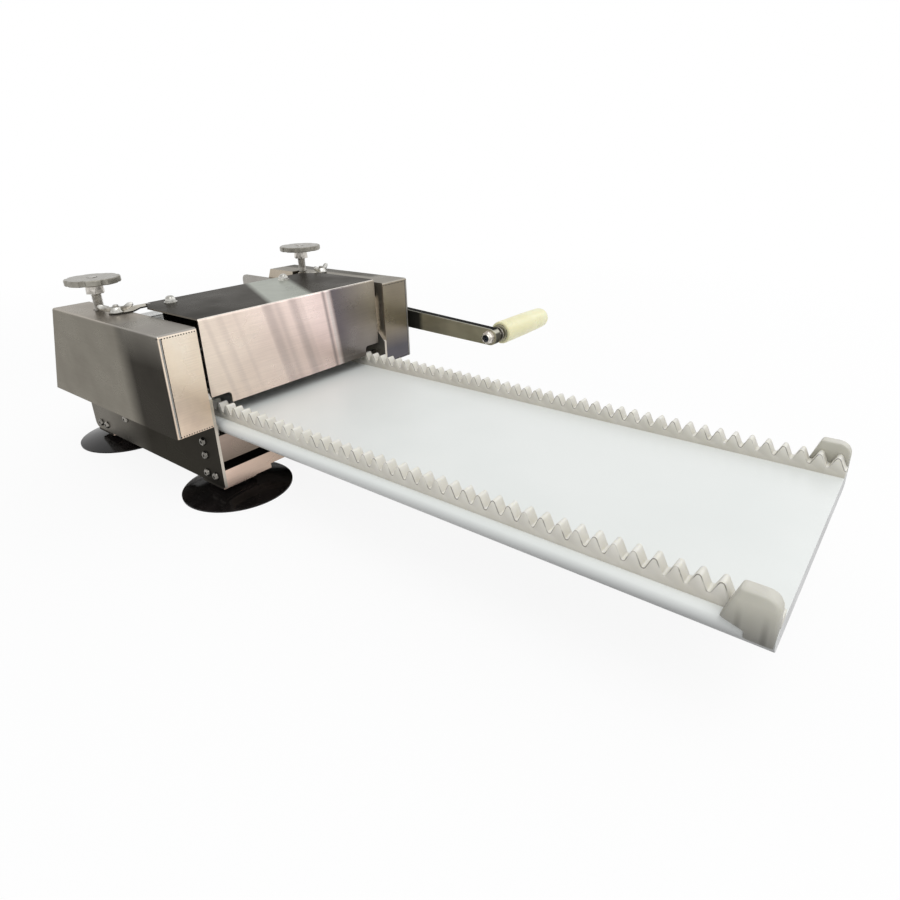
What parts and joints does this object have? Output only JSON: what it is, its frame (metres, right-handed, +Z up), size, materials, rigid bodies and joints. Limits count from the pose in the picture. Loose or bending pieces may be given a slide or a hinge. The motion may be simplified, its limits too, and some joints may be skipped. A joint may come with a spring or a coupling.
{
  "type": "dough sheeter",
  "caption": "Hand-cranked dough sheeter: a toothed plastic board driven by a crank slides under a roller set by two hand screws, in folded steel covers on suction cups",
  "frame": {"origin": "on the plane the suction cups stand on, below the upper roller's axis, midway between the side plates", "axes": "+X along the rollers towards the crank, +Y from the outfeed end to the back, +Z up"},
  "size_m": [0.4541, 0.8054, 0.2135],
  "materials": {
    "stainless": "brushed sheet, satin",
    "zinc_steel": "zinc plated, dull",
    "turned_steel": "turned, fine",
    "dark_steel": "rolled flat bar, dull",
    "board_plastic": "machined polyethylene, satin",
    "rack_plastic": "machined plastic, satin",
    "bush_bronze": "turned bronze",
    "block_aluminium": "milled",
    "cup_rubber": "moulded rubber, glossy",
    "grip_plastic": "turned plastic, polished"
  },
  "bodies": {
    "frame": {"bar_pins": "zinc_steel", "base_rail_front": "stainless", "base_rail_rear": "stainless", "bed": "stainless", "bed_screws": "zinc_steel", "board_guides": "rack_plastic", "cap_screws": "zinc_steel", "carrier_bar": "stainless", "clamp_studs": "zinc_steel", "cover_brackets": "stainless", "end_cover_left": "stainless", "end_cover_right": "stainless", "foot_brackets": "stainless", "foot_nuts": "zinc_steel", "foot_screws": "zinc_steel", "foot_studs": "zinc_steel", "front_cover": "stainless", "guide_rails_left": "turned_steel", "guide_rails_right": "turned_steel", "scraper_blade": "stainless", "screw_bridges": "turned_steel", "shaft_bushes": "bush_bronze", "side_plate_left": "stainless", "side_plate_right": "stainless", "suction_cups_front": "cup_rubber", "suction_cups_rear": "cup_rubber", "support_bushes": "bush_bronze", "tie_rods": "turned_steel", "tie_screws": "zinc_steel", "wing_nuts": "zinc_steel"},
    "board": {"board": "board_plastic", "rack_left": "rack_plastic", "rack_right": "rack_plastic", "front_ears": "rack_plastic", "rear_ears": "rack_plastic"},
    "drive": {"crank_shaft": "turned_steel", "pinion_left": "turned_steel", "pinion_right": "turned_steel", "shaft_collars": "zinc_steel", "crank_hub": "turned_steel", "crank_arm": "dark_steel", "arm_screw": "zinc_steel", "grip_bolt": "zinc_steel", "grip_collar": "dark_steel"},
    "grip": {"grip": "grip_plastic"},
    "roller_carriage": {"roller_block_left": "block_aluminium", "roller_block_right": "block_aluminium", "roller_bushes": "bush_bronze"},
    "roller": {"roller_tube": "turned_steel", "roller_hubs": "turned_steel", "roller_shaft": "turned_steel"},
    "left_screw": {"thickness_screw_left": "zinc_steel", "knob_left": "zinc_steel", "knob_nut_left": "zinc_steel"},
    "right_screw": {"thickness_screw_right": "zinc_steel", "knob_right": "zinc_steel", "knob_nut_right": "zinc_steel"},
    "support_roller": {"support_roller": "turned_steel", "support_axle": "turned_steel"}
  },
  "joints": [
    {"name": "board_slide", "type": "slide", "parent": "frame", "child": "board", "axis": [0, 1, 0], "range_m": [0, 0.4843]},
    {"name": "crank_spin", "type": "hinge", "parent": "frame", "child": "drive", "pos_m": [0, -0.103, 0.127], "axis": [1, 0, 0], "range_deg": [0, 869]},
    {"name": "grip_spin", "type": "hinge", "parent": "drive", "child": "grip", "pos_m": [0.199, -0.2748, 0.1186], "axis": [1, 0, 0], "continuous": true},
    {"name": "thickness_slide", "type": "slide", "parent": "frame", "child": "roller_carriage", "axis": [0, 0, 1], "range_m": [0, 0.012]},
    {"name": "roller_spin", "type": "hinge", "parent": "roller_carriage", "child": "roller", "pos_m": [0, 0, 0.1195], "axis": [1, 0, 0], "range_deg": [0, 794]},
    {"name": "left_screw_spin", "type": "hinge", "parent": "roller_carriage", "child": "left_screw", "pos_m": [-0.1333, 0, 0.1395], "axis": [0, 0, 1], "range_deg": [0, 2881]},
    {"name": "right_screw_spin", "type": "hinge", "parent": "roller_carriage", "child": "right_screw", "pos_m": [0.1333, 0, 0.1395], "axis": [0, 0, 1], "range_deg": [0, 2881]},
    {"name": "support_roller_spin", "type": "hinge", "parent": "frame", "child": "support_roller", "pos_m": [0, 0, 0.0498], "axis": [1, 0, 0], "range_deg": [-1389, 0]}
  ],
  "couplings": [
    {"joint": "crank_spin", "follows": "board_slide", "rad_per_m": 31.25},
    {"joint": "roller_spin", "follows": "board_slide", "rad_per_m": 28.571},
    {"joint": "support_roller_spin", "follows": "board_slide", "rad_per_m": -50},
    {"joint": "left_screw_spin", "follows": "thickness_slide", "rad_per_m": 4188.8},
    {"joint": "right_screw_spin", "follows": "thickness_slide", "rad_per_m": 4188.8}
  ]
}
